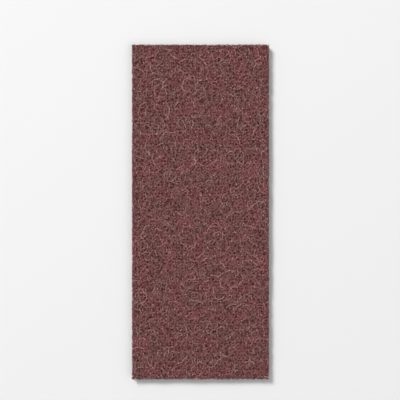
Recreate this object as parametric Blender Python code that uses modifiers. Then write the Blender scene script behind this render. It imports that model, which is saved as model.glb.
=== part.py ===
"""A non-woven finishing pad: one flat, lofty web of curled nylon fibres, cut square by a knife.

Run with: blender --background --python part.py
Metres, +Z up. The pad lies flat with its width along X, its length along Y and its thickness
along Z. The origin is the centre of the face it rests on.

The web's face is a tangle of curled strands. Each strand is a row of crests with a row of feet
beside it, so that it stands up steeply on one side and runs softly into the web on the other.
The upper half is modelled as one open sheet with its cut edge, and a Mirror closes it into the
solid pad, because both faces of the web are alike.
"""

import math
import random

import bmesh
import bpy
from mathutils import Vector, geometry, kdtree

# Overall size, cut from a wide roll of web.
WIDTH = 0.1143
LENGTH = 0.2794
THICKNESS = 0.0064

# Curled strands that stand up from a face.
STRAND_SPACING = 0.0090
MOST_CRESTS_IN_STRAND = 6
LEAST_CRESTS_IN_STRAND = 3
CREST_PITCH = 0.0031
TIGHT_CURL_RADIUS = 0.0060
LOOSE_CURL_RADIUS = 0.020
CURL_DRIFT_DEG = 16.0
STRAND_BREADTH = 0.0011
LEAST_CREST_GAP = 0.0020
LEAST_FOOT_GAP = 0.0013
HIGH_STRAND_SHARE = 0.6
LOW_STRAND_DROP = 0.0007

# The web between the strands, and how deep it lies below them.
WEB_DEPTH = 0.0021
SHALLOW_FOOT_SHARE = 0.75
HOLLOW_PITCH = 0.0058
HOLLOW_CLEARANCE = 0.0036
SHALLOW_HOLLOW_SHARE = 0.30
DEEP_HOLLOW_SHARE = 0.90

# Both are laid out on a shaken triangular grid.
GRID_SHAKE_SHARE = 0.33

# The knife-cut rim.
RIM_PITCH = 0.0044
RIM_MARGIN = 0.0019
RIM_PULL_BACK = 0.0003
RIM_DROP = 0.0009
CORNER_DROP = 0.0003

WEB_SEED = 20
WELD_DISTANCE = 0.00001
SHARP_ANGLE_DEG = 35.0

WEB_COLOUR = (0.153, 0.067, 0.065, 1.0)
WEB_ROUGHNESS = 0.95


def clear_scene():
    for obj in list(bpy.data.objects):
        bpy.data.objects.remove(obj, do_unlink=True)


def web_material():
    material = bpy.data.materials.new("maroon_web")
    material.use_nodes = True
    material.diffuse_color = WEB_COLOUR
    shader = material.node_tree.nodes["Principled BSDF"]
    shader.inputs["Base Color"].default_value = WEB_COLOUR
    shader.inputs["Roughness"].default_value = WEB_ROUGHNESS
    shader.inputs["Metallic"].default_value = 0.0
    return material


def inside_rim(place):
    """True where a plan point lies far enough inside the cut rim to be a point of its own."""
    return abs(place.x) < WIDTH / 2 - RIM_MARGIN and abs(place.y) < LENGTH / 2 - RIM_MARGIN


def is_clear(place, taken, gap):
    return all((place - other).length > gap for other, _ in taken)


def fits_in(crest, foot, taken):
    """True where one step of a strand lies inside the rim and clear of the points that are there already."""
    inside = inside_rim(crest) and inside_rim(foot)
    return inside and is_clear(crest, taken, LEAST_CREST_GAP) and is_clear(foot, taken, LEAST_FOOT_GAP)


def shaken_grid(dice, pitch):
    """Plan points over the whole pad on a triangular grid, each shaken from its place."""
    row_pitch = pitch * math.sin(math.radians(60))
    shake = pitch * GRID_SHAKE_SHARE
    places = []
    for row in range(math.ceil(LENGTH / row_pitch)):
        for column in range(math.ceil(WIDTH / pitch)):
            across = (column + row % 2 / 2) * pitch - WIDTH / 2 + dice.uniform(-shake, shake)
            along = (row + 0.5) * row_pitch - LENGTH / 2 + dice.uniform(-shake, shake)
            places.append(Vector((across, along)))
    return places


def curled_strand(dice, start):
    """[(crest, foot)] in plan along one strand. Equal steps turn by a drifting angle, so that it curls."""
    place = start
    heading = dice.uniform(0, math.tau)
    sharpest_turn = CREST_PITCH / TIGHT_CURL_RADIUS
    turn = dice.choice((-1, 1)) * CREST_PITCH / dice.uniform(TIGHT_CURL_RADIUS, LOOSE_CURL_RADIUS)
    drift = math.radians(CURL_DRIFT_DEG)
    foot_side = dice.choice((-1, 1)) * STRAND_BREADTH
    steps = []
    for _ in range(MOST_CRESTS_IN_STRAND):
        steps.append((place, place + foot_side * Vector((-math.sin(heading), math.cos(heading)))))
        turn = max(-sharpest_turn, min(sharpest_turn, turn + dice.uniform(-drift, drift)))
        heading += turn
        place = place + CREST_PITCH * Vector((math.cos(heading), math.sin(heading)))
    return steps


def strand_points(dice, rim):
    """(plan point, drop below the face plane) of each crest and foot. A strand ends where it meets another."""
    starts = shaken_grid(dice, STRAND_SPACING)
    dice.shuffle(starts)
    points = []
    for start in starts:
        drop = 0.0 if dice.random() < HIGH_STRAND_SHARE else dice.uniform(0, LOW_STRAND_DROP)
        taken = rim + points
        strand = []
        for crest, foot in curled_strand(dice, start):
            if not fits_in(crest, foot, taken):
                break
            strand.append((crest, drop))
            strand.append((foot, WEB_DEPTH * dice.uniform(SHALLOW_FOOT_SHARE, 1)))
        if len(strand) >= 2 * LEAST_CRESTS_IN_STRAND:
            points += strand
    return points


def hollow_points(dice, strands):
    """(plan point, drop) of every hollow, kept where no strand is near."""
    tree = kdtree.KDTree(len(strands))
    for index, (place, _) in enumerate(strands):
        tree.insert(place.to_3d(), index)
    tree.balance()
    hollows = []
    for place in shaken_grid(dice, HOLLOW_PITCH):
        nearest_strand = tree.find(place.to_3d())[2]
        if inside_rim(place) and nearest_strand > HOLLOW_CLEARANCE:
            share = dice.uniform(SHALLOW_HOLLOW_SHARE, DEEP_HOLLOW_SHARE)
            hollows.append((place, WEB_DEPTH * share))
    return hollows


def rim_points(dice):
    """(plan point, drop) round the rim. Corners stay on the knife's line, and ends between them draw back."""
    corners = [
        Vector((-WIDTH / 2, -LENGTH / 2)),
        Vector((WIDTH / 2, -LENGTH / 2)),
        Vector((WIDTH / 2, LENGTH / 2)),
        Vector((-WIDTH / 2, LENGTH / 2)),
    ]
    rim = []
    for start, end in zip(corners, corners[1:] + corners[:1]):
        along = (end - start).normalized()
        inwards = Vector((-along.y, along.x))
        steps = round((end - start).length / RIM_PITCH)
        rim.append((start, CORNER_DROP))
        for step in range(1, steps):
            place = start.lerp(end, step / steps) + inwards * dice.uniform(0, RIM_PULL_BACK)
            rim.append((place, dice.uniform(0, RIM_DROP)))
    return rim


def upper_sheet(dice):
    """The upper face as an open mesh above the middle plane: Delaunay triangles between the points."""
    rim = rim_points(dice)
    strands = strand_points(dice, rim)
    points = rim + strands + hollow_points(dice, strands)
    outline = [list(range(len(rim)))]
    inside_outline = 1
    plan, _, faces, sources, _, _ = geometry.delaunay_2d_cdt(
        [place for place, _ in points], [], outline, inside_outline, WELD_DISTANCE
    )
    sheet = bmesh.new()
    verts = [
        sheet.verts.new((place.x, place.y, THICKNESS / 2 - points[source[0]][1]))
        for place, source in zip(plan, sources)
    ]
    for face in faces:
        sheet.faces.new([verts[index] for index in face])
    return sheet


def add_cut_edge(sheet, dice):
    """Carries the rim down to the middle plane. The web's core draws back a little from the cut."""
    rim = [edge for edge in sheet.edges if edge.is_boundary]
    lower = bmesh.ops.extrude_edge_only(sheet, edges=rim)["geom"]
    for vert in [item for item in lower if isinstance(item, bmesh.types.BMVert)]:
        side = Vector((vert.co.x / WIDTH, vert.co.y / LENGTH))
        pull = dice.uniform(0, RIM_PULL_BACK)
        if abs(side.x) > abs(side.y):
            vert.co.x -= math.copysign(pull, side.x)
        else:
            vert.co.y -= math.copysign(pull, side.y)
        vert.co.z = 0.0


def build_pad():
    dice = random.Random(WEB_SEED)
    sheet = upper_sheet(dice)
    add_cut_edge(sheet, dice)
    bmesh.ops.recalc_face_normals(sheet, faces=sheet.faces)
    highest = max(sheet.faces, key=lambda face: face.calc_center_median().z)
    if highest.normal.z < 0:
        bmesh.ops.reverse_faces(sheet, faces=sheet.faces)

    mesh = bpy.data.meshes.new("fibre_web")
    sheet.to_mesh(mesh)
    sheet.free()
    mesh.materials.append(web_material())
    mesh.shade_smooth()
    mesh.set_sharp_from_angle(angle=math.radians(SHARP_ANGLE_DEG))

    pad = bpy.data.objects.new("fibre_web", mesh)
    pad.location.z = THICKNESS / 2
    halves = pad.modifiers.new("lower_half", "MIRROR")
    halves.use_axis = (False, False, True)
    halves.merge_threshold = WELD_DISTANCE
    return pad


def main():
    clear_scene()
    collection = bpy.data.collections.new("finishing_pad")
    bpy.context.scene.collection.children.link(collection)
    collection.objects.link(build_pad())


main()
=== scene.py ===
"""Looks of the non-woven finishing pad: a dark web core under thousands of curled, resin-bound nylon fibres.

Metres, +Z up. The pad lies on its rest face, with its width along X and its length along Y. Each fibre is a
three-sided tube carried along a curled path, cut where it meets the pad's outline. Lightness and brownness
run from 0 to 1. A pair of values is the least and the most of a random draw.
"""

import math

import bpy
import numpy as np
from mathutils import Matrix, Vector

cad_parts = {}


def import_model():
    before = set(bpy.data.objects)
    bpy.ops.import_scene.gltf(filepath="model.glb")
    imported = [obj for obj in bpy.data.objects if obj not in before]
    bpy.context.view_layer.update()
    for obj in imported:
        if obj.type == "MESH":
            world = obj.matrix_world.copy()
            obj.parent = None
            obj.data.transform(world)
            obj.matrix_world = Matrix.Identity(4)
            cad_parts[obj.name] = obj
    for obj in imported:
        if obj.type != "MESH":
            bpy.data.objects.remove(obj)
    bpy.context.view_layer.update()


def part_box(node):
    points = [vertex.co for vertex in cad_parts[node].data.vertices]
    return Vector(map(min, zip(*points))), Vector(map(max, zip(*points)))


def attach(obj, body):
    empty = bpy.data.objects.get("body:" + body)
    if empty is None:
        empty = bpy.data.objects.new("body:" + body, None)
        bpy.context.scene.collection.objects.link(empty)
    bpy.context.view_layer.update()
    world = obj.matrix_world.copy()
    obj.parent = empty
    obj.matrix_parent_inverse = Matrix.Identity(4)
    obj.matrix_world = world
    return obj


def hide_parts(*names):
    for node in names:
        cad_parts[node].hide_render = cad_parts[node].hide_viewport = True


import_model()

MM = 0.001
TURN = 2 * math.pi
TINY = 1e-9
PAD_HIGH = np.array(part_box("fibre_web")[1])
HALF_SIZE = PAD_HIGH[:2]
THICKNESS = PAD_HIGH[2]

# The form of the fibres. Loft is how far whole areas of a face lie below it.
FIBRE_SIDES = 3
OVERHANG_SHARE = 1 / 8
LEAST_COVER = 0.02 * MM
LOFT_DEPTH = 0.08 * MM
MOST_LOFT = 3
FACE_FRAY = 0.12 * MM

# The tones of the fibres. A stretch is a light or dark part of a fibre, in the shape of a bell: a light
# stretch is a painted highlight where the fibre rises into the light, a dark one is painted shade where it
# sinks.
FIBRE_SPREAD = 0.02
PALE_SHARE = 0.03
PALER = (0.10, 0.20)
STRETCH_SPREAD = 0.06
STRETCH_RINGS = (1.2, 3.0)
LIGHT_STRETCH_SHARE = 0.65
CLUMP_LIGHT = 0.11
DUST = 0.06
# Painted shade: how much a fibre's lightness drops for each millimetre it lies below the face.
PAINTED_SHADE_PER_MM = 0.06
PIT_SHADE = 0.85
PIT_SHADE_POWER = 2.5
BROWN = 0.74
BROWN_PATCHES = 0.45

# The two faces: how many tube segments each layer has, and how the rest face's layers differ.
UPPER_SEGMENTS = 24800
REST_SEGMENTS = 5750
SEGMENTS_PER_LOOSE_SEGMENT = 4
SEGMENTS_PER_BEAD = 14
REST_DEPTH_SHARE = 0.6
REST_STEP_SHARE = 1.35
REST_RADIUS_SHARE = 1.25

# Layers of a face, from the deepest up.
FACE_LAYERS = (
    ("deep_fibres", dict(
        rings=26, step=1.25 * MM, radius=(0.16 * MM, 0.23 * MM),
        curl=(0, 110), crimp=(0.4, 1.2), crimp_length=(8 * MM, 16 * MM),
        depth=(1.1 * MM, 1.5 * MM), swing=(0.2 * MM, 0.5 * MM), wave=(5 * MM, 10 * MM),
        light=0.64,
    )),
    ("middle_fibres", dict(
        rings=26, step=1.0 * MM, radius=(0.15 * MM, 0.21 * MM),
        curl=(0, 220), crimp=(0.5, 1.3), crimp_length=(6 * MM, 13 * MM),
        depth=(0.8 * MM, 1.1 * MM), swing=(0.2 * MM, 0.5 * MM), wave=(5 * MM, 10 * MM),
        light=0.64, looped=0.3,
    )),
    ("upper_fibres", dict(
        rings=26, step=0.85 * MM, radius=(0.13 * MM, 0.19 * MM),
        curl=(0, 260), crimp=(0.5, 1.2), crimp_length=(5 * MM, 10 * MM),
        depth=(0.5 * MM, 0.9 * MM), swing=(0.2 * MM, 0.4 * MM), wave=(4 * MM, 8 * MM),
        light=0.645, looped=0.6,
    )),
    ("top_curls", dict(
        rings=18, step=0.75 * MM, radius=(0.11 * MM, 0.17 * MM),
        curl=(80, 380), crimp=(0.2, 0.9), crimp_length=(4 * MM, 9 * MM),
        depth=(0.3 * MM, 0.7 * MM), swing=(0.1 * MM, 0.4 * MM), wave=(4 * MM, 8 * MM),
        light=0.66, looped=0.7,
    )),
)
# Loose strands on top of a face: their pale pink tone is partly the fibres' own and partly a painted
# highlight where they stand proud.
LOOSE_STRANDS = dict(
    rings=22, step=0.9 * MM, radius=(0.11 * MM, 0.16 * MM),
    curl=(60, 200), crimp=(0.1, 0.5), crimp_length=(6 * MM, 12 * MM),
    depth=(0.2 * MM, 0.4 * MM), swing=(0.0 * MM, 0.2 * MM), wave=(6 * MM, 12 * MM),
    light=0.86, looped=1.0, redder=0.45, dust=0.05,
)

# Fibres all through the thickness, near the cut. Shade stops growing at the shade depth.
CUT_EDGE = dict(
    count=2300, rings=9, step=0.95 * MM, radius=(0.15 * MM, 0.23 * MM), inwards=(0.1 * MM, 2.2 * MM),
    curl=(0, 260), crimp=(0.3, 0.9), crimp_length=(6 * MM, 12 * MM),
    cover=0.25 * MM, swing=(0.1 * MM, 0.5 * MM), wave=9 * MM,
    light=0.50, shade_depth=1.2 * MM, fray=0.25 * MM,
)
RIM_TOLERANCE = 0.01 * MM

# Drops of resin. Each drop draws its half size, then the share of it that each axis has. Their pale tone is
# partly the colour of resin and grain and partly a painted highlight where they would glint.
BEAD_HALF_SIZES = (0.26 * MM, 0.50 * MM)
BEAD_AXIS_SHARES = (0.7, 1.1)
BEAD_SQUASH = 0.7
BEAD_LIGHTNESS_WITH_HIGHLIGHT = (0.85, 1.05)

# Pinholes in a face, which its fibres curl round, one to a cell.
PIT_CELLS = np.round(2 * HALF_SIZE / (2.4 * MM)).astype(int)
PIT_CELL = 2 * HALF_SIZE / PIT_CELLS
PIT_RADII = (0.20 * MM, 0.72 * MM)

# Wider open places, which the strands near the face curl round in loops.
LOOP_CELLS = np.round(2 * HALF_SIZE / (7.0 * MM)).astype(int)
LOOP_RADII = (1.2 * MM, 2.2 * MM)

# The web's core, seen only between the fibres.
UPPER_CORE = dict(ridge_depth=1.40 * MM, pit_depths=(1.9 * MM, 2.7 * MM))
REST_CORE = dict(ridge_depth=0.8 * MM, pit_depths=(1.2 * MM, 2.0 * MM))
CORE_SEED = 53
CORE_INSET = 0.9 * MM
PIT_INSET = 0.4 * MM
MOST_OFF_CENTRE = 0.40 * PIT_CELL
RIDGE_SHAKE_SHARE = 0.09
RIDGE_ROUGHNESS = 0.14 * MM
MOST_ROUGHNESS = 0.3 * MM
LUMP_HEIGHT = 0.08 * MM

# The waves of a random field differ in length by these shares.
WAVELENGTH_SHARES = (0.75, 1.35)

# Maps. A fibre's lightness runs across its map and its brownness up it, and its points lie a little apart. On
# the core's map the upper sheet is left, the rest sheet in the middle and the wall along the right side.
MAP_MARGIN = 0.01
TONE_SPAN = 0.97
POINTS_APART = 0.004
RINGS_APART = 0.003
CORE_MAP_SPAN = 0.98
SHEET_SPAN = 0.46
REST_SHEET_MOVE = (0.48, 0)
REST_SHEET_MIDDLE = 0.72
REST_SHEET_HALF_SPAN = 0.24
WALL_SIDES = (0.97, 0.99)
WALL_SEEN_FROM = 0.965

# Colours of dyed, dusty nylon by lightness. Brown fades as lightness nears its limit.
WEB_TONES = (
    (0.00, (0.022, 0.004, 0.004)),
    (0.25, (0.095, 0.021, 0.022)),
    (0.50, (0.247, 0.075, 0.076)),
    (0.75, (0.472, 0.203, 0.200)),
    (1.00, (0.900, 0.560, 0.530)),
)
BROWN_TINT = (0.835, 1.05, 0.985, 1)
BROWN_LIMIT = 1.45
WEB_SPECULAR = 0.25

# Fibre surface. The first value is for a viewer that doesn't read the map.
FIBRE_ROUGHNESS = 0.72
LEAST_ROUGHNESS = 0.55
ROUGHER_WHEN_PALE = 0.30
GRAIN_SHARE = 0.22
GRAIN_HEIGHT = 0.4

# Core surface: the lightness of each set of lines, and how the lines' level becomes lightness. Farther sets
# of lines are darker, as painted shade of depth.
LINE_LEVELS = (("Near", 0.50), ("Middle", 0.42), ("Far", 0.30))
FINER_LINE_LEVELS = (("Near", 0.44), ("Middle", 0.34), ("Far", 0.26))
NOISE_MIDDLE = 0.5
CORE_ROUGHNESS = 0.9
CORE_CONTRAST = 0.82
CORE_GROUND = 0.27
SHADE_DEPTHS = (1.55 * MM, 2.20 * MM)
DEEPEST_SHADE = 0.12
CUT_SHADE = 0.75
REST_SHEET_SHADE = -0.26

# Camera and floor. The photograph gives no scale, so the pixels for each metre are a guess.
PHOTO_PIXELS = 400
PIXELS_PER_METRE = 1199.0
PAD_CENTRE_PIXEL = (200.5, 212.0)
LENS = 85.0
SENSOR = 36.0
SKY_LIGHT = 0.32
FLOOR_SIZE = 3
FLOOR_ROUGHNESS = 0.9
FLOOR_COLOUR = (0.87, 0.87, 0.87, 1)

WEB_SEED = 7
dice = np.random.default_rng(WEB_SEED)


def wave_field(seed, wavelength, waves=14):
    """A smooth random field of the plan, with about unit spread: a sum of plane waves of nearly one
    wavelength, in random directions and with random starts."""
    own = np.random.default_rng(seed)
    heading = own.uniform(0, TURN, waves)
    start = own.uniform(0, TURN, waves)
    length = wavelength * own.uniform(*WAVELENGTH_SHARES, waves)

    def field(x, y):
        total = np.zeros(np.shape(x))
        for angle, phase, size in zip(heading, start, length):
            total += np.cos(TURN / size * (x * math.cos(angle) + y * math.sin(angle)) + phase)
        return total * math.sqrt(2 / waves)

    return field


loft = wave_field(seed=31, wavelength=26 * MM)
brown_patch = wave_field(seed=33, wavelength=20 * MM)
clump = wave_field(seed=35, wavelength=1.8 * MM, waves=24)
core_lumps = wave_field(seed=34, wavelength=4.2 * MM)


def mesh_object(name, points, quads, triangles, uv):
    """An object at the origin from numpy arrays, without the points that no face uses. The map holds one
    place for each point, or one for each face corner, quads first."""
    corners = np.concatenate([quads.ravel(), triangles.ravel()])
    corner_uv = uv if len(uv) == len(corners) else uv[corners]
    used, corners = np.unique(corners, return_inverse=True)
    quad_starts = np.arange(len(quads)) * 4
    triangle_starts = len(quads) * 4 + np.arange(len(triangles)) * 3
    mesh = bpy.data.meshes.new(name)
    mesh.vertices.add(len(used))
    mesh.vertices.foreach_set("co", points[used].astype(np.float32).ravel())
    mesh.loops.add(len(corners))
    mesh.loops.foreach_set("vertex_index", corners.astype(np.int32).ravel())
    mesh.polygons.add(len(quads) + len(triangles))
    mesh.polygons.foreach_set("loop_start", np.concatenate([quad_starts, triangle_starts]).astype(np.int32))
    mesh.update(calc_edges=True)
    bake_map = mesh.uv_layers.new(name="OFBake")
    bake_map.uv.foreach_set("vector", corner_uv.astype(np.float32).ravel())
    mesh.shade_smooth()
    piece = bpy.data.objects.new(name, mesh)
    bpy.context.scene.collection.objects.link(piece)
    return piece


def spread_middles(count, half_size):
    """About count plan points over a rectangle: a square grid, each point shaken by up to half a cell."""
    cell = math.sqrt(4 * half_size[0] * half_size[1] / count)
    columns = math.ceil(2 * half_size[0] / cell)
    rows = math.ceil(2 * half_size[1] / cell)
    across, along = np.meshgrid(np.arange(columns) + 0.5, np.arange(rows) + 0.5)
    grid = np.stack([across.ravel(), along.ravel()], 1) * cell - np.array([columns, rows]) * cell / 2
    grid += dice.uniform(-0.5 * cell, 0.5 * cell, grid.shape)
    dice.shuffle(grid)
    return grid


def open_places(seed, counts, radii):
    """Round openings over a face: (middles, radii), one to each cell, shaken from the cell's middle, with one
    more row of cells all round."""
    own = np.random.default_rng(seed)
    places = np.stack(np.meshgrid(*(np.arange(count + 2) for count in counts), indexing="ij"), 2)
    shaken = places - 0.5 + own.uniform(-0.5, 0.5, places.shape)
    return shaken * 2 * HALF_SIZE / counts - HALF_SIZE, own.uniform(*radii, counts + 2)


def opened_round(openings, plan, strength):
    """Plan points moved out of round openings, and how near each was to one, from 0 to 1.

    A point at the share s of twice an opening's radius from its middle moves outwards by the radius times
    (1 - s) squared, so that fibres crowd along its rim, and it was near by 1 - s. Only the openings of the
    point's own cell and the eight round it can reach it."""
    middles, radii = openings
    last = np.array(radii.shape) - 1
    cell = np.floor((plan + HALF_SIZE) / (2 * HALF_SIZE) * (last - 1)).astype(int) + 1
    push = np.zeros_like(plan)
    near = np.zeros(plan.shape[:-1])
    for across in (-1, 0, 1):
        for along in (-1, 0, 1):
            column = (cell[..., 0] + across).clip(0, last[0])
            row = (cell[..., 1] + along).clip(0, last[1])
            away = plan - middles[column, row]
            distance = np.linalg.norm(away, axis=-1) + TINY
            radius = radii[column, row]
            share = (1 - distance / (2 * radius)).clip(0, 1)
            push += away * (radius * share**2 / distance)[..., None]
            near = np.maximum(near, share)
    return plan + strength * push, near


def curled_plan(middles, rings, step, curl, crimp, crimp_length):
    """Plan paths, (fibres, rings, 2). A fibre's heading is a start angle, a steady curl along it and a sine
    crimp. Its path is the running sum of equal steps along that heading, moved to its middle."""
    count = len(middles)
    along = np.arange(rings) * step
    start = dice.uniform(0, TURN, (count, 1))
    phase = dice.uniform(0, TURN, (count, 1))
    crimped = crimp[:, None] * np.sin(TURN * along / crimp_length[:, None] + phase)
    heading = start + curl[:, None] * along + crimped
    path = np.cumsum(step * np.stack([np.cos(heading), np.sin(heading)], 2), axis=1)
    return path - path[:, rings // 2][:, None] + middles[:, None]


def woven_depth(count, rings, step, middle, swing, wave):
    """Depth below the face, (fibres, rings): a middle depth and a sine swing along the fibre."""
    along = np.arange(rings) * step
    phase = dice.uniform(0, TURN, (count, 1))
    return middle[:, None] + swing[:, None] * np.sin(TURN * along / wave[:, None] + phase)


def tone_map(light, brown, corners):
    """The map place of each corner of each ring or drop, from its lightness and brownness."""
    tone = np.stack([light, brown], -1)[..., None, :] + POINTS_APART * np.array(corners)
    return (MAP_MARGIN + TONE_SPAN * np.clip(tone, 0, 1)).reshape(-1, 2)


def lay_fibres(name, path, radius, light, brown, flat_side, fray):
    """Closed three-sided tubes along paths of (fibres, rings, 3).

    Each ring is a triangle across the path whose flat side is up, at 1, or down, at -1. A step stays where
    one of its ends is inside the outline, and the other end is drawn back to the cut, so a fibre that leaves
    the pad and comes back is two tubes. Each tube's ends are capped."""
    count, rings = path.shape[:2]
    edge = HALF_SIZE + dice.normal(0, fray, (count, rings, 1)).clip(-2 * fray, 2 * fray)
    inside = (np.abs(path[:, :, :2]) < edge).all(2)
    shown = inside[:, :-1] | inside[:, 1:]
    path = path.copy()
    path[:, :, :2] = np.clip(path[:, :, :2], -edge, edge)

    along = np.gradient(path, axis=1)
    along /= np.linalg.norm(along, axis=2, keepdims=True) + TINY
    side = np.stack([-along[:, :, 1], along[:, :, 0], np.zeros((count, rings))], 2)
    side /= np.linalg.norm(side, axis=2, keepdims=True) + TINY
    up = np.cross(along, side)
    angle = -flat_side * TURN / 4 + TURN * np.arange(FIBRE_SIDES) / FIBRE_SIDES
    reach = radius[:, :, None, None]
    across = np.cos(angle)[None, None, :, None] * side[:, :, None]
    upwards = np.sin(angle)[None, None, :, None] * up[:, :, None]
    points = path[:, :, None] + reach * (across + upwards)

    number = np.arange(count * rings * FIBRE_SIDES).reshape(count, rings, FIBRE_SIDES)
    following = np.roll(number, -1, axis=2)
    quads = np.stack([number[:, :-1], following[:, :-1], following[:, 1:], number[:, 1:]], 3)[shown]
    none_before = np.ones((count, 1), bool)
    starts = shown & np.concatenate([none_before, ~shown[:, :-1]], 1)
    ends = shown & np.concatenate([~shown[:, 1:], none_before], 1)
    caps = np.concatenate([number[:, :-1][starts][:, ::-1], number[:, 1:][ends]])

    tone = tone_map(light, brown + RINGS_APART * (np.arange(rings) % 2), [[0, 0], [1, 0], [0, 1]])
    return mesh_object(name, points.reshape(-1, 3), quads.reshape(-1, 4), caps, tone)


def own_light(middle, count, rings):
    """Lightness along each fibre, (fibres, rings): a normal spread about a middle, paler for a few fibres,
    and one stretch along it, lighter as a painted highlight where the fibre rises into the light, darker as
    painted shade where it sinks."""
    light = dice.normal(middle, FIBRE_SPREAD, (count, 1))
    light += np.where(dice.uniform(0, 1, (count, 1)) < PALE_SHARE, dice.uniform(*PALER, (count, 1)), 0)
    stretch = np.abs(dice.normal(0, STRETCH_SPREAD, (count, 1)))
    stretch *= np.where(dice.uniform(0, 1, (count, 1)) < LIGHT_STRETCH_SHARE, 1.0, -1.0)
    centre = dice.uniform(0, rings, (count, 1))
    width = dice.uniform(*STRETCH_RINGS, (count, 1))
    return light + stretch * np.exp(-(((np.arange(rings) - centre) / width) ** 2))


def fibre_tones(path, depth, own, redder, dust=DUST):
    """(light, brown) at each ring: the fibre's given lightness, made less with depth as painted shade, in
    fine clumps and with dust.
    """
    x, y = path[:, :, 0], path[:, :, 1]
    light = own - PAINTED_SHADE_PER_MM * depth / MM
    light = light + CLUMP_LIGHT * clump(x, y) + dice.normal(0, dust, light.shape)
    brown = BROWN - redder + BROWN_PATCHES * brown_patch(x, y)
    return light, brown


def face_layer(
    name, is_upper, segments, rings, step, radius, curl, crimp, crimp_length, depth, swing, wave, light,
    looped=0.0, redder=0.0, dust=DUST,
):
    """One layer of fibres of a face, of about so many segments in all, and the fibres' paths. Each fibre
    draws its own value from each pair."""
    half_size = HALF_SIZE + rings * step * OVERHANG_SHARE
    middles = spread_middles(segments / (rings - 1) * (half_size / HALF_SIZE).prod(), half_size)
    count = len(middles)

    def draw(least, most):
        return dice.uniform(least, most, count)

    turning = draw(*curl) * dice.choice([-1, 1], count)
    plan = curled_plan(middles, rings, step, turning, draw(*crimp), draw(*crimp_length))
    plan, _ = opened_round(LOOPS, plan, looped)
    plan, near = opened_round(UPPER_PITS if is_upper else REST_PITS, plan, 1.0)
    below = woven_depth(count, rings, step, draw(*depth), draw(*swing), draw(*wave))
    radius = draw(*radius)[:, None] * np.ones((1, rings))
    below = np.maximum(below, radius + LEAST_COVER)
    sunk = below + LOFT_DEPTH * (1 + loft(plan[:, :, 0], plan[:, :, 1])).clip(0, MOST_LOFT)
    height = THICKNESS - sunk if is_upper else sunk
    path = np.concatenate([plan, height[:, :, None]], 2)
    # Painted shade: fibres near a pinhole are made darker, most near its middle.
    own = own_light(light, count, rings) - PIT_SHADE * near**PIT_SHADE_POWER
    tones = fibre_tones(path, below, own, redder, dust)
    return lay_fibres(name, path, radius, *tones, 1 if is_upper else -1, FACE_FRAY), path


def coarser(shape):
    """A layer's shape for the rest face: flatter, with longer steps and thicker fibres."""
    flatter = {key: tuple(REST_DEPTH_SHARE * value for value in shape[key]) for key in ("depth", "swing")}
    thicker = tuple(REST_RADIUS_SHARE * value for value in shape["radius"])
    return {**shape, **flatter, "step": REST_STEP_SHARE * shape["step"], "radius": thicker}


def resin_beads(name, path, count):
    """Drops of resin and grain on fibres, pale partly from their own colour and partly as painted highlights,
    each a squashed octahedron round a ring of a path, turned at random. Its half widths are its half size
    times a random share on each axis."""
    inner = path[(np.abs(path[:, :, :2]) < HALF_SIZE - BEAD_HALF_SIZES[1]).all(2)]
    middles = inner[dice.integers(0, len(inner), count)]
    half = dice.uniform(*BEAD_HALF_SIZES, (count, 1)) * dice.uniform(*BEAD_AXIS_SHARES, (count, 3))
    half *= np.array([1, 1, BEAD_SQUASH])
    middles[:, 2] = middles[:, 2].clip(half[:, 2], THICKNESS - half[:, 2])
    turn = dice.uniform(0, TURN, count)
    ahead = np.stack([np.cos(turn), np.sin(turn), 0 * turn], 1) * half[:, :1]
    aside = np.stack([-np.sin(turn), np.cos(turn), 0 * turn], 1) * half[:, 1:2]
    above = np.array([0, 0, 1]) * half[:, 2:]
    points = middles[:, None] + np.stack([ahead, aside, -ahead, -aside, above, -above], 1)
    first = 6 * np.arange(count)[:, None, None]
    round_top = np.array([[0, 1, 4], [1, 2, 4], [2, 3, 4], [3, 0, 4]])
    round_foot = np.array([[1, 0, 5], [2, 1, 5], [3, 2, 5], [0, 3, 5]])
    triangles = (first + np.concatenate([round_top, round_foot])).reshape(-1, 3)
    brown = BROWN + BROWN_PATCHES * brown_patch(middles[:, 0], middles[:, 1])
    corners = [[0, 0], [1, 0], [1, 1], [0, 1], [0.4, 0.6], [0.6, 0.4]]
    tone = tone_map(dice.uniform(*BEAD_LIGHTNESS_WITH_HIGHLIGHT, count), brown, corners)
    return mesh_object(name, points.reshape(-1, 3), np.empty((0, 4), int), triangles, tone)


def cut_edge_layer(
    name, count, rings, step, radius, inwards, curl, crimp, crimp_length, cover, swing, wave, light,
    shade_depth, fray,
):
    """Fibres all through the thickness, near the cut. Each starts on a point of the rim, drawn by its
    distance round it, and is moved inwards."""
    round_rim = dice.uniform(0, 4 * HALF_SIZE.sum(), count)
    corners = np.array([[-1, -1], [1, -1], [1, 1], [-1, 1], [-1, -1]]) * HALF_SIZE
    at_corner = np.concatenate([[0], np.cumsum(np.linalg.norm(np.diff(corners, axis=0), axis=1))])
    rim = np.stack([np.interp(round_rim, at_corner, corners[:, axis]) for axis in (0, 1)], 1)
    move = dice.uniform(*inwards, (count, 1))
    on_side = np.abs(np.abs(rim) - HALF_SIZE) < RIM_TOLERANCE
    middles = rim - np.sign(rim) * np.where(on_side, move, 0)
    turning = dice.uniform(*curl, count) * dice.choice([-1, 1], count)
    crimp_lengths = dice.uniform(*crimp_length, count)
    plan = curled_plan(middles, rings, step, turning, dice.uniform(*crimp, count), crimp_lengths)
    middle = dice.uniform(cover, THICKNESS - cover, count)
    swings = dice.uniform(*swing, count)
    height = woven_depth(count, rings, step, middle, swings, np.full(count, wave))
    radius = dice.uniform(*radius, (count, 1)) * np.ones((1, rings))
    height = height.clip(radius, THICKNESS - radius)
    path = np.concatenate([plan, height[:, :, None]], 2)
    deep = np.minimum(height, THICKNESS - height).clip(0, shade_depth)
    tones = fibre_tones(path, deep, own_light(light, count, rings), 0.0)
    return lay_fibres(name, path, radius, *tones, 1, fray)


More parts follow.
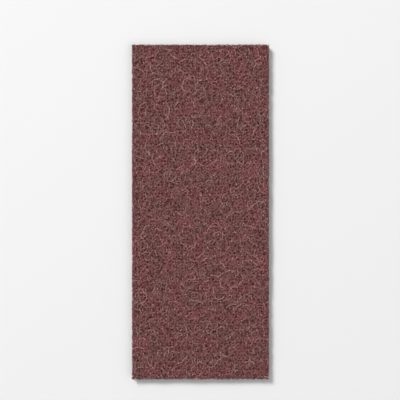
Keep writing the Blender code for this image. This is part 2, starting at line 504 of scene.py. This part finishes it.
def core_sheet(pits, ridge_depth, pit_depths):
    """One face of the core as a grid of half cells, with its depth below the face: (points, triangles, uv).

    The middle of each cell is moved towards its pinhole. A fan of eight triangles joins it to the eight ridge
    points round it. Ridge points inside the rim are shaken."""
    own = np.random.default_rng(CORE_SEED)
    columns, rows = 2 * PIT_CELLS + 1
    places = np.stack(np.meshgrid(np.arange(columns), np.arange(rows), indexing="ij"), 2)
    plan = places * PIT_CELL / 2 - HALF_SIZE
    shaken = own.uniform(-RIDGE_SHAKE_SHARE, RIDGE_SHAKE_SHARE, (columns - 2, rows - 2, 2))
    plan[1:-1, 1:-1] += shaken * PIT_CELL
    limit = HALF_SIZE - CORE_INSET
    pit_limit = limit - PIT_INSET
    centre = places[1::2, 1::2] * PIT_CELL / 2 - HALF_SIZE
    off_centre = (pits[0][1:-1, 1:-1] - centre).clip(-MOST_OFF_CENTRE, MOST_OFF_CENTRE)
    plan[1::2, 1::2] = (centre + off_centre).clip(-pit_limit, pit_limit)
    plan = plan.clip(-limit, limit)
    depth = ridge_depth + LUMP_HEIGHT * core_lumps(plan[..., 0], plan[..., 1])
    depth += own.normal(0, RIDGE_ROUGHNESS, depth.shape).clip(-MOST_ROUGHNESS, MOST_ROUGHNESS)
    depth[1::2, 1::2] = own.uniform(*pit_depths, PIT_CELLS)
    middle = np.arange(columns * rows).reshape(columns, rows)[1::2, 1::2, None]
    ring = np.array([-rows - 1, -1, rows - 1, rows, rows + 1, 1, 1 - rows, -rows])
    around = middle + ring
    fans = np.stack([middle + 0 * ring, around, np.roll(around, -1, axis=2)], 3).reshape(-1, 3)
    share = (plan + HALF_SIZE) / (2 * HALF_SIZE)
    uv = MAP_MARGIN + np.array([SHEET_SPAN, CORE_MAP_SPAN]) * share
    return np.concatenate([plan, depth[..., None]], 2).reshape(-1, 3), fans, uv.reshape(-1, 2)


def web_core():
    """The closed slab under the fibres: two sheets with the same rim, which one strip of quads joins. The
    strip has its own place on the map, along the right side."""
    columns, rows = 2 * PIT_CELLS + 1
    number = np.arange(columns * rows).reshape(columns, rows)
    rim = np.concatenate([number[:, 0], number[-1, 1:], number[-2::-1, -1], number[0, -2:0:-1]])
    after = np.roll(rim, -1)
    wall = np.stack([rim + columns * rows, after + columns * rows, after, rim], 1)
    start = MAP_MARGIN + CORE_MAP_SPAN * np.arange(len(rim)) / len(rim)
    end = start + CORE_MAP_SPAN / len(rim)
    wall_v = np.stack([start, end, end, start], 1)
    wall_u = np.broadcast_to(np.repeat(WALL_SIDES, 2), wall_v.shape)
    wall_uv = np.stack([wall_u, wall_v], 2).reshape(-1, 2)
    upper, upper_fans, upper_uv = core_sheet(UPPER_PITS, **UPPER_CORE)
    lower, lower_fans, lower_uv = core_sheet(REST_PITS, **REST_CORE)
    upper[:, 2] = THICKNESS - upper[:, 2]
    points = np.concatenate([upper, lower])
    triangles = np.concatenate([upper_fans, lower_fans[:, ::-1] + columns * rows])
    sheet_uv = np.concatenate([upper_uv, lower_uv + REST_SHEET_MOVE])[triangles].reshape(-1, 2)
    return mesh_object("web_core", points, wall, triangles, np.concatenate([wall_uv, sheet_uv]))


def new_group(name, inputs, outputs):
    """A shader node group with float, colour and vector sockets: (group, its input node, its output node)."""
    group = bpy.data.node_groups.new(name, "ShaderNodeTree")
    for label, kind, default in inputs:
        socket = group.interface.new_socket(label, in_out="INPUT", socket_type=kind)
        if default is not None:
            socket.default_value = default
    for label, kind in outputs:
        group.interface.new_socket(label, in_out="OUTPUT", socket_type=kind)
    return group, group.nodes.new("NodeGroupInput"), group.nodes.new("NodeGroupOutput")


def maths(tree, operation, first, second=None, third=None):
    """A Math node's output. Each operand is a number or an output socket."""
    node = tree.nodes.new("ShaderNodeMath")
    node.operation = operation
    for socket, value in zip(node.inputs, (first, second, third)):
        if isinstance(value, bpy.types.NodeSocket):
            tree.links.new(value, socket)
        elif value is not None:
            socket.default_value = value
    return node.outputs[0]


def web_tint_group():
    """Colour of dyed, dusty nylon by lightness, from deep maroon shade to pale pink-grey, drawn towards brown
    by brownness times what its limit leaves over lightness."""
    group, given, made = new_group(
        "web_tint",
        [("Lightness", "NodeSocketFloat", 0.5), ("Brown", "NodeSocketFloat", 0.5)],
        [("Color", "NodeSocketColor")],
    )
    ramp = group.nodes.new("ShaderNodeValToRGB")
    stops = ramp.color_ramp.elements
    stops.remove(stops[1])
    stops[0].position = WEB_TONES[0][0]
    for place, _ in WEB_TONES[1:]:
        stops.new(place)
    for stop, (_, colour) in zip(stops, WEB_TONES):
        stop.color = (*colour, 1)
    browner = group.nodes.new("ShaderNodeMix")
    browner.data_type = "RGBA"
    browner.blend_type = "MULTIPLY"
    factor, plain, tint = (browner.inputs[index] for index in (0, 6, 7))
    tint.default_value = BROWN_TINT
    group.links.new(given.outputs["Lightness"], ramp.inputs[0])
    less_on_pale = maths(group, "SUBTRACT", BROWN_LIMIT, given.outputs["Lightness"])
    group.links.new(maths(group, "MULTIPLY", given.outputs["Brown"], less_on_pale), factor)
    group.links.new(ramp.outputs[0], plain)
    group.links.new(browner.outputs[2], made.inputs["Color"])
    return group


def grit_group():
    """Resin and abrasive grain on a fibre: the height of fine noise and of larger grains."""
    group, given, made = new_group(
        "abrasive_grit",
        [("Vector", "NodeSocketVector", None), ("Scale", "NodeSocketFloat", 3000.0)],
        [("Height", "NodeSocketFloat")],
    )
    noise = group.nodes.new("ShaderNodeTexNoise")
    noise.inputs["Detail"].default_value = 3
    cells = group.nodes.new("ShaderNodeTexVoronoi")
    for texture in (noise, cells):
        group.links.new(given.outputs["Vector"], texture.inputs["Vector"])
        group.links.new(given.outputs["Scale"], texture.inputs["Scale"])
    grains = maths(group, "LESS_THAN", cells.outputs["Distance"], GRAIN_SHARE)
    height = maths(group, "ADD", noise.outputs[0], maths(group, "MULTIPLY", grains, GRAIN_HEIGHT))
    group.links.new(height, made.inputs["Height"])
    return group


def strand_lines_group():
    """Fine curled strands drawn on a surface: the level lines of three smooth noises, from 1 on a line to 0
    at its breadth from it."""
    group, given, made = new_group(
        "strand_lines",
        [
            ("Vector", "NodeSocketVector", None),
            ("Scale", "NodeSocketFloat", 400.0),
            ("Breadth", "NodeSocketFloat", 0.06),
        ],
        [("Near", "NodeSocketFloat"), ("Middle", "NodeSocketFloat"), ("Far", "NodeSocketFloat")],
    )
    noise = group.nodes.new("ShaderNodeTexNoise")
    noise.inputs["Detail"].default_value = 1.5
    group.links.new(given.outputs["Vector"], noise.inputs["Vector"])
    group.links.new(given.outputs["Scale"], noise.inputs["Scale"])
    split = group.nodes.new("ShaderNodeSeparateColor")
    group.links.new(noise.outputs["Color"], split.inputs[0])
    for channel, label in enumerate(("Near", "Middle", "Far")):
        off_line = maths(group, "ABSOLUTE", maths(group, "SUBTRACT", split.outputs[channel], NOISE_MIDDLE))
        share = maths(group, "DIVIDE", off_line, given.outputs["Breadth"])
        line = maths(group, "SUBTRACT", 1.0, maths(group, "MINIMUM", share, 1.0))
        group.links.new(line, made.inputs[label])
    return group


WEB_TINT = web_tint_group()
GRIT = grit_group()
STRAND_LINES = strand_lines_group()


def add_group(material, group, **values):
    node = material.node_tree.nodes.new("ShaderNodeGroup")
    node.node_tree = group
    for label, value in values.items():
        node.inputs[label].default_value = value
    return node


def new_material(name, roughness):
    material = bpy.data.materials.new(name)
    material.use_nodes = True
    shader = material.node_tree.nodes["Principled BSDF"]
    shader.inputs["Roughness"].default_value = roughness
    shader.inputs["Specular IOR Level"].default_value = WEB_SPECULAR
    return material, shader


def object_place(tree):
    return tree.nodes.new("ShaderNodeTexCoord").outputs["Object"]


def map_place(tree):
    """(across, up) on the piece's own map."""
    own_map = tree.nodes.new("ShaderNodeUVMap")
    own_map.uv_map = "OFBake"
    split = tree.nodes.new("ShaderNodeSeparateXYZ")
    tree.links.new(own_map.outputs[0], split.inputs[0])
    return split.outputs[0], split.outputs[1]


def colour_and_bump(tree, shader, tint, height, strength, distance):
    """Joins a tint and a height to a shader."""
    bump = tree.nodes.new("ShaderNodeBump")
    bump.inputs["Strength"].default_value = strength
    bump.inputs["Distance"].default_value = distance
    tree.links.new(height, bump.inputs["Height"])
    tree.links.new(tint.outputs["Color"], shader.inputs["Base Color"])
    tree.links.new(bump.outputs[0], shader.inputs["Normal"])


def fibre_material():
    """Resin-coated nylon. The piece's own map holds each fibre's lightness across and its brownness up. Pale,
    dusty fibre is rougher than dark, resin-wet fibre."""
    material, shader = new_material("resin_bound_fibre", FIBRE_ROUGHNESS)
    tree = material.node_tree
    light, brown = map_place(tree)
    tint = add_group(material, WEB_TINT)
    grit = add_group(material, GRIT, Scale=2600.0)
    tree.links.new(light, tint.inputs["Lightness"])
    tree.links.new(brown, tint.inputs["Brown"])
    roughness = maths(tree, "MULTIPLY_ADD", light, ROUGHER_WHEN_PALE, LEAST_ROUGHNESS)
    tree.links.new(roughness, shader.inputs["Roughness"])
    tree.links.new(object_place(tree), grit.inputs["Vector"])
    colour_and_bump(tree, shader, tint, grit.outputs["Height"], strength=0.5, distance=0.06 * MM)
    return material


def strand_level(tree, material, place):
    """The lightest of six sets of fine strands, three large and three smaller."""
    sets = (
        (add_group(material, STRAND_LINES, Scale=430.0, Breadth=0.085), LINE_LEVELS),
        (add_group(material, STRAND_LINES, Scale=760.0, Breadth=0.10), FINER_LINE_LEVELS),
    )
    level = 0.0
    for node, lightness in sets:
        tree.links.new(place, node.inputs["Vector"])
        for label, most in lightness:
            level = maths(tree, "MAXIMUM", level, maths(tree, "MULTIPLY", node.outputs[label], most))
    return level


def core_shade(tree, place):
    """How much light is left at a place of the core: less in the pinholes, kept up on the cut edge and lower
    on the rest sheet."""
    apart = tree.nodes.new("ShaderNodeSeparateXYZ")
    tree.links.new(place, apart.inputs[0])
    height = apart.outputs[2]
    depth = maths(tree, "MINIMUM", height, maths(tree, "SUBTRACT", THICKNESS, height))
    shade = tree.nodes.new("ShaderNodeMapRange")
    shade.interpolation_type = "SMOOTHSTEP"
    shade.inputs["From Min"].default_value = SHADE_DEPTHS[0]
    shade.inputs["From Max"].default_value = SHADE_DEPTHS[1]
    shade.inputs["To Min"].default_value = 1.0
    shade.inputs["To Max"].default_value = DEEPEST_SHADE
    tree.links.new(depth, shade.inputs["Value"])
    across, _ = map_place(tree)
    on_cut = maths(tree, "MULTIPLY", maths(tree, "GREATER_THAN", across, WALL_SEEN_FROM), CUT_SHADE)
    on_rest_sheet = maths(tree, "COMPARE", across, REST_SHEET_MIDDLE, REST_SHEET_HALF_SPAN)
    kept = maths(tree, "MAXIMUM", shade.outputs[0], on_cut)
    return maths(tree, "MULTIPLY", kept, maths(tree, "MULTIPLY_ADD", on_rest_sheet, REST_SHEET_SHADE, 1.0))


def core_material():
    """The inner web: fine strands at several depths, the deeper ones darker as painted shade, over hollows
    darkened with painted shade, in soft brown and red patches.
    """
    material, shader = new_material("inner_web", CORE_ROUGHNESS)
    tree = material.node_tree
    place = object_place(tree)
    tint = add_group(material, WEB_TINT)
    level = maths(tree, "MULTIPLY_ADD", strand_level(tree, material, place), CORE_CONTRAST, CORE_GROUND)
    level = maths(tree, "MULTIPLY", level, core_shade(tree, place))
    patches = tree.nodes.new("ShaderNodeTexNoise")
    patches.inputs["Scale"].default_value = 60.0
    tree.links.new(place, patches.inputs["Vector"])
    tree.links.new(level, tint.inputs["Lightness"])
    tree.links.new(patches.outputs[0], tint.inputs["Brown"])
    colour_and_bump(tree, shader, tint, level, strength=0.8, distance=0.5 * MM)
    return material


def finish(piece, material):
    piece.data.materials.append(material)
    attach(piece, "root")


def floor():
    """A wide pale sheet under the pad."""
    bpy.ops.mesh.primitive_plane_add(size=FLOOR_SIZE, location=(0, 0, 0))
    sheet = bpy.context.object
    sheet.name = "pale_floor"
    material, shader = new_material("pale_floor", FLOOR_ROUGHNESS)
    shader.inputs["Base Color"].default_value = FLOOR_COLOUR
    sheet.data.materials.append(material)


def lamp(name, place, size, power):
    """A square soft box that looks at the pad's middle."""
    light = bpy.data.lights.new(name, "AREA")
    light.size = size
    light.energy = power
    source = bpy.data.objects.new(name, light)
    source.location = place
    source.rotation_euler = (-source.location).to_track_quat("-Z", "Y").to_euler()
    bpy.context.scene.collection.objects.link(source)


def camera():
    """Straight above the pad, at the height where the sensor takes in the photograph's width."""
    view_width = PHOTO_PIXELS / PIXELS_PER_METRE
    lens = bpy.data.cameras.new("camera")
    lens.lens = LENS
    lens.sensor_width = SENSOR
    lens.clip_start = 0.01
    eye = bpy.data.objects.new("camera", lens)
    eye.location = (
        (PHOTO_PIXELS / 2 - PAD_CENTRE_PIXEL[0]) / PIXELS_PER_METRE,
        (PAD_CENTRE_PIXEL[1] - PHOTO_PIXELS / 2) / PIXELS_PER_METRE,
        THICKNESS + view_width * LENS / SENSOR,
    )
    bpy.context.scene.collection.objects.link(eye)
    bpy.context.scene.camera = eye


def world():
    """An even white sky, dimmer as a light than as a background."""
    sky = bpy.data.worlds.new("studio")
    sky.use_nodes = True
    tree = sky.node_tree
    path = tree.nodes.new("ShaderNodeLightPath")
    seen = path.outputs["Is Camera Ray"]
    for output in ("Is Glossy Ray", "Is Transmission Ray"):
        seen = maths(tree, "MAXIMUM", seen, path.outputs[output])
    strength = maths(tree, "MULTIPLY_ADD", seen, 1 - SKY_LIGHT, SKY_LIGHT)
    tree.nodes["Background"].inputs["Color"].default_value = (1, 1, 1, 1)
    tree.links.new(strength, tree.nodes["Background"].inputs["Strength"])
    bpy.context.scene.world = sky


FIBRE = fibre_material()
UPPER_PITS = open_places(seed=51, counts=PIT_CELLS, radii=PIT_RADII)
REST_PITS = open_places(seed=52, counts=PIT_CELLS, radii=PIT_RADII)
LOOPS = open_places(seed=53, counts=LOOP_CELLS, radii=LOOP_RADII)

core = web_core()
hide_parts("fibre_web")
finish(core, core_material())

for face, is_upper, segments in (("upper", True, UPPER_SEGMENTS), ("rest", False, REST_SEGMENTS)):
    for layer, shape in FACE_LAYERS:
        shape = shape if is_upper else coarser(shape)
        fibres, path = face_layer(face + "_" + layer, is_upper, segments, **shape)
        finish(fibres, FIBRE)
    loose_segments = segments // SEGMENTS_PER_LOOSE_SEGMENT
    strands, _ = face_layer(face + "_loose_strands", is_upper, loose_segments, **LOOSE_STRANDS)
    finish(strands, FIBRE)
    finish(resin_beads(face + "_resin_beads", path, segments // SEGMENTS_PER_BEAD), FIBRE)
finish(cut_edge_layer("cut_edge_fibres", **CUT_EDGE), FIBRE)

floor()
world()
lamp("key", place=(-2.2, 2.6, 3.0), size=1.4, power=184.0)
lamp("fill", place=(2.6, -1.6, 3.2), size=3.2, power=37.0)
camera()
bpy.context.scene.view_settings.view_transform = "Standard"
